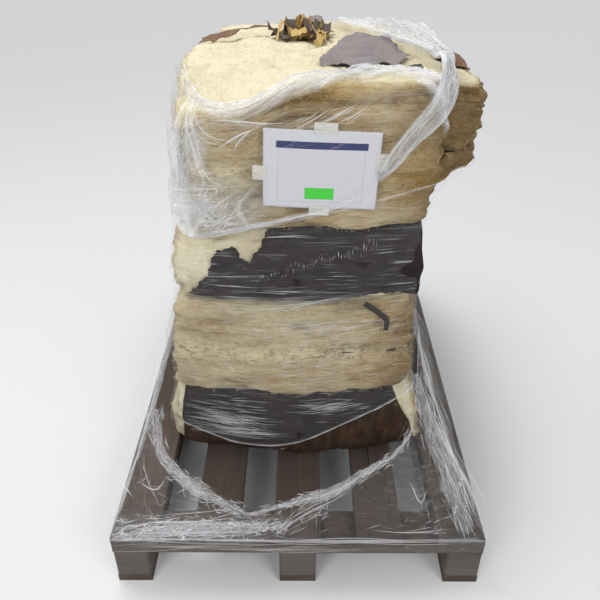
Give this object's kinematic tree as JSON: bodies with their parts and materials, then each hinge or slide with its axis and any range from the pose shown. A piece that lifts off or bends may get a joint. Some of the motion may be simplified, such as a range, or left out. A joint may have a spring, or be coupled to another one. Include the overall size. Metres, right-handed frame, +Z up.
{
  "type": "pallet load of folded insulation batts",
  "caption": "Wooden pallet with a stack of folded yellow glass wool batts, dark paper facings, clear stretch film round stack and pallet, a blank taped sheet and torn paper on top.",
  "frame": {"origin": "on the floor under the middle of the pallet, which is the middle of the whole load's footprint", "axes": "+Z up; +Y from the front, where the sheet is taped, to the rear, along the pallet's 1.2 m side; +X to the right seen from the front"},
  "size_m": [0.8026, 1.2026, 1.0519],
  "materials": {
    "weathered_wood": "rough sawn, weathered grey-brown",
    "glass_wool": "matte fibrous yellow glass wool",
    "dark_paper": "dark brown-black coated paper, slight sheen",
    "stretch_film": "clear, glossy, wrinkled",
    "white_paper": "matte office paper with a plain printed bar and frame",
    "green_paper": "matte bright green",
    "clear_tape": "translucent adhesive tape",
    "grey_paper": "matte grey torn paper",
    "kraft_paper": "matte brown kraft paper",
    "scrap_paper": "crumpled paper with yellow wool on it"
  },
  "bodies": {
    "root": {"deck_board_1": "weathered_wood", "deck_board_2": "weathered_wood", "deck_board_3": "weathered_wood", "deck_board_4": "weathered_wood", "deck_board_5": "weathered_wood", "cross_board_front": "weathered_wood", "cross_board_middle": "weathered_wood", "cross_board_rear": "weathered_wood", "bottom_board_left": "weathered_wood", "bottom_board_middle": "weathered_wood", "bottom_board_right": "weathered_wood", "block_front_left": "weathered_wood", "block_front_middle": "weathered_wood", "block_front_right": "weathered_wood", "block_middle_left": "weathered_wood", "block_middle_middle": "weathered_wood", "block_middle_right": "weathered_wood", "block_rear_left": "weathered_wood", "block_rear_middle": "weathered_wood", "block_rear_right": "weathered_wood", "batt_1": "glass_wool", "batt_2": "glass_wool", "batt_3": "glass_wool", "batt_4": "glass_wool", "facing_1": "dark_paper", "facing_2": "dark_paper", "facing_3": "dark_paper", "facing_4": "dark_paper", "film_wrap": "stretch_film", "film_hood": "stretch_film", "film_band": "stretch_film", "film_twist": "stretch_film", "film_skirt_front": "stretch_film", "film_skirt_left": "stretch_film", "film_skirt_right": "stretch_film", "film_skirt_rear": "stretch_film", "sign_sheet": "white_paper", "price_sticker": "green_paper", "tape_top": "clear_tape", "tape_bottom": "clear_tape", "tape_left": "clear_tape", "tape_right": "clear_tape", "grey_flap": "grey_paper", "small_grey_flap": "grey_paper", "kraft_flap": "kraft_paper", "torn_edge_strip": "kraft_paper", "crumpled_scrap": "scrap_paper", "dark_strip": "dark_paper", "dark_tab_left": "dark_paper", "dark_tab_right": "dark_paper"}
  },
  "joints": []
}
